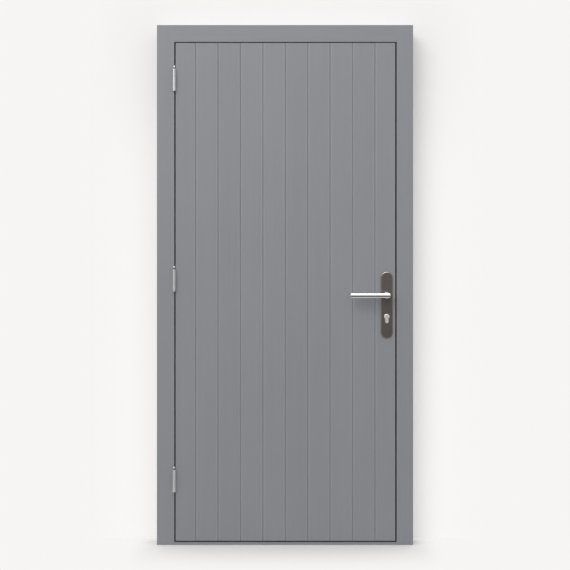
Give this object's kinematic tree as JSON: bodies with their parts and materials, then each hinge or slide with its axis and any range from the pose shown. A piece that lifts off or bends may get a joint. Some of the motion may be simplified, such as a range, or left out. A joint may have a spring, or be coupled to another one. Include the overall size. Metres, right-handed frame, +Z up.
{
  "type": "exterior door",
  "caption": "Outward-opening boarded timber door leaf hung in a rebated timber frame, with loose-pin butt hinges, long lock plates and lever handles.",
  "frame": {"origin": "middle of the frame's underside, half way through the frame's depth", "axes": "+Z up the door, -Y outwards to the side the leaf opens to, +X to the lock side as seen from outside"},
  "size_m": [1.03, 0.163, 2.09],
  "materials": {
    "painted_timber": "satin grey paint over softwood",
    "hinge_steel": "zinc plated",
    "dark_plate": "dark brushed and lacquered",
    "lever_steel": "satin stainless",
    "cylinder_nickel": "matt nickel",
    "lock_steel": "plain steel",
    "seal_rubber": "matt black"
  },
  "bodies": {
    "frame": {"hinge_jamb": "painted_timber", "lock_jamb": "painted_timber", "head": "painted_timber", "sill": "painted_timber", "hinge_jamb_seal": "seal_rubber", "lock_jamb_seal": "seal_rubber", "head_seal": "seal_rubber", "sill_seal": "seal_rubber", "strike_plate": "lock_steel", "top_hinge_frame_plate": "hinge_steel", "top_hinge_pin": "hinge_steel", "middle_hinge_frame_plate": "hinge_steel", "middle_hinge_pin": "hinge_steel", "bottom_hinge_frame_plate": "hinge_steel", "bottom_hinge_pin": "hinge_steel"},
    "leaf": {"board_01": "painted_timber", "board_02": "painted_timber", "board_03": "painted_timber", "board_04": "painted_timber", "board_05": "painted_timber", "board_06": "painted_timber", "board_07": "painted_timber", "board_08": "painted_timber", "board_09": "painted_timber", "board_10": "painted_timber", "hinge_stile": "painted_timber", "lock_stile": "painted_timber", "top_rail": "painted_timber", "lock_rail": "painted_timber", "bottom_rail": "painted_timber", "upper_brace": "painted_timber", "lower_brace": "painted_timber", "lock_case": "lock_steel", "latch_bolt": "lock_steel", "deadbolt": "lock_steel", "outside_plate": "dark_plate", "inside_plate": "dark_plate", "lock_cylinder": "cylinder_nickel", "cylinder_collar": "cylinder_nickel", "top_hinge_leaf_plate": "hinge_steel", "middle_hinge_leaf_plate": "hinge_steel", "bottom_hinge_leaf_plate": "hinge_steel"},
    "handle": {"outside_lever": "lever_steel", "inside_lever": "lever_steel", "spindle": "lock_steel"}
  },
  "joints": [
    {"name": "leaf_swing", "type": "hinge", "parent": "frame", "child": "leaf", "pos_m": [-0.4445, -0.05225, 1.06325], "axis": [0, 0, -1], "range_deg": [0, 170]},
    {"name": "lever_turn", "type": "hinge", "parent": "leaf", "child": "handle", "pos_m": [0.4085, -0.024, 1.0025], "axis": [0, -1, 0], "range_deg": [0, 40], "stiffness_Nm_per_rad": 1.2, "springref_deg": -45.84}
  ]
}
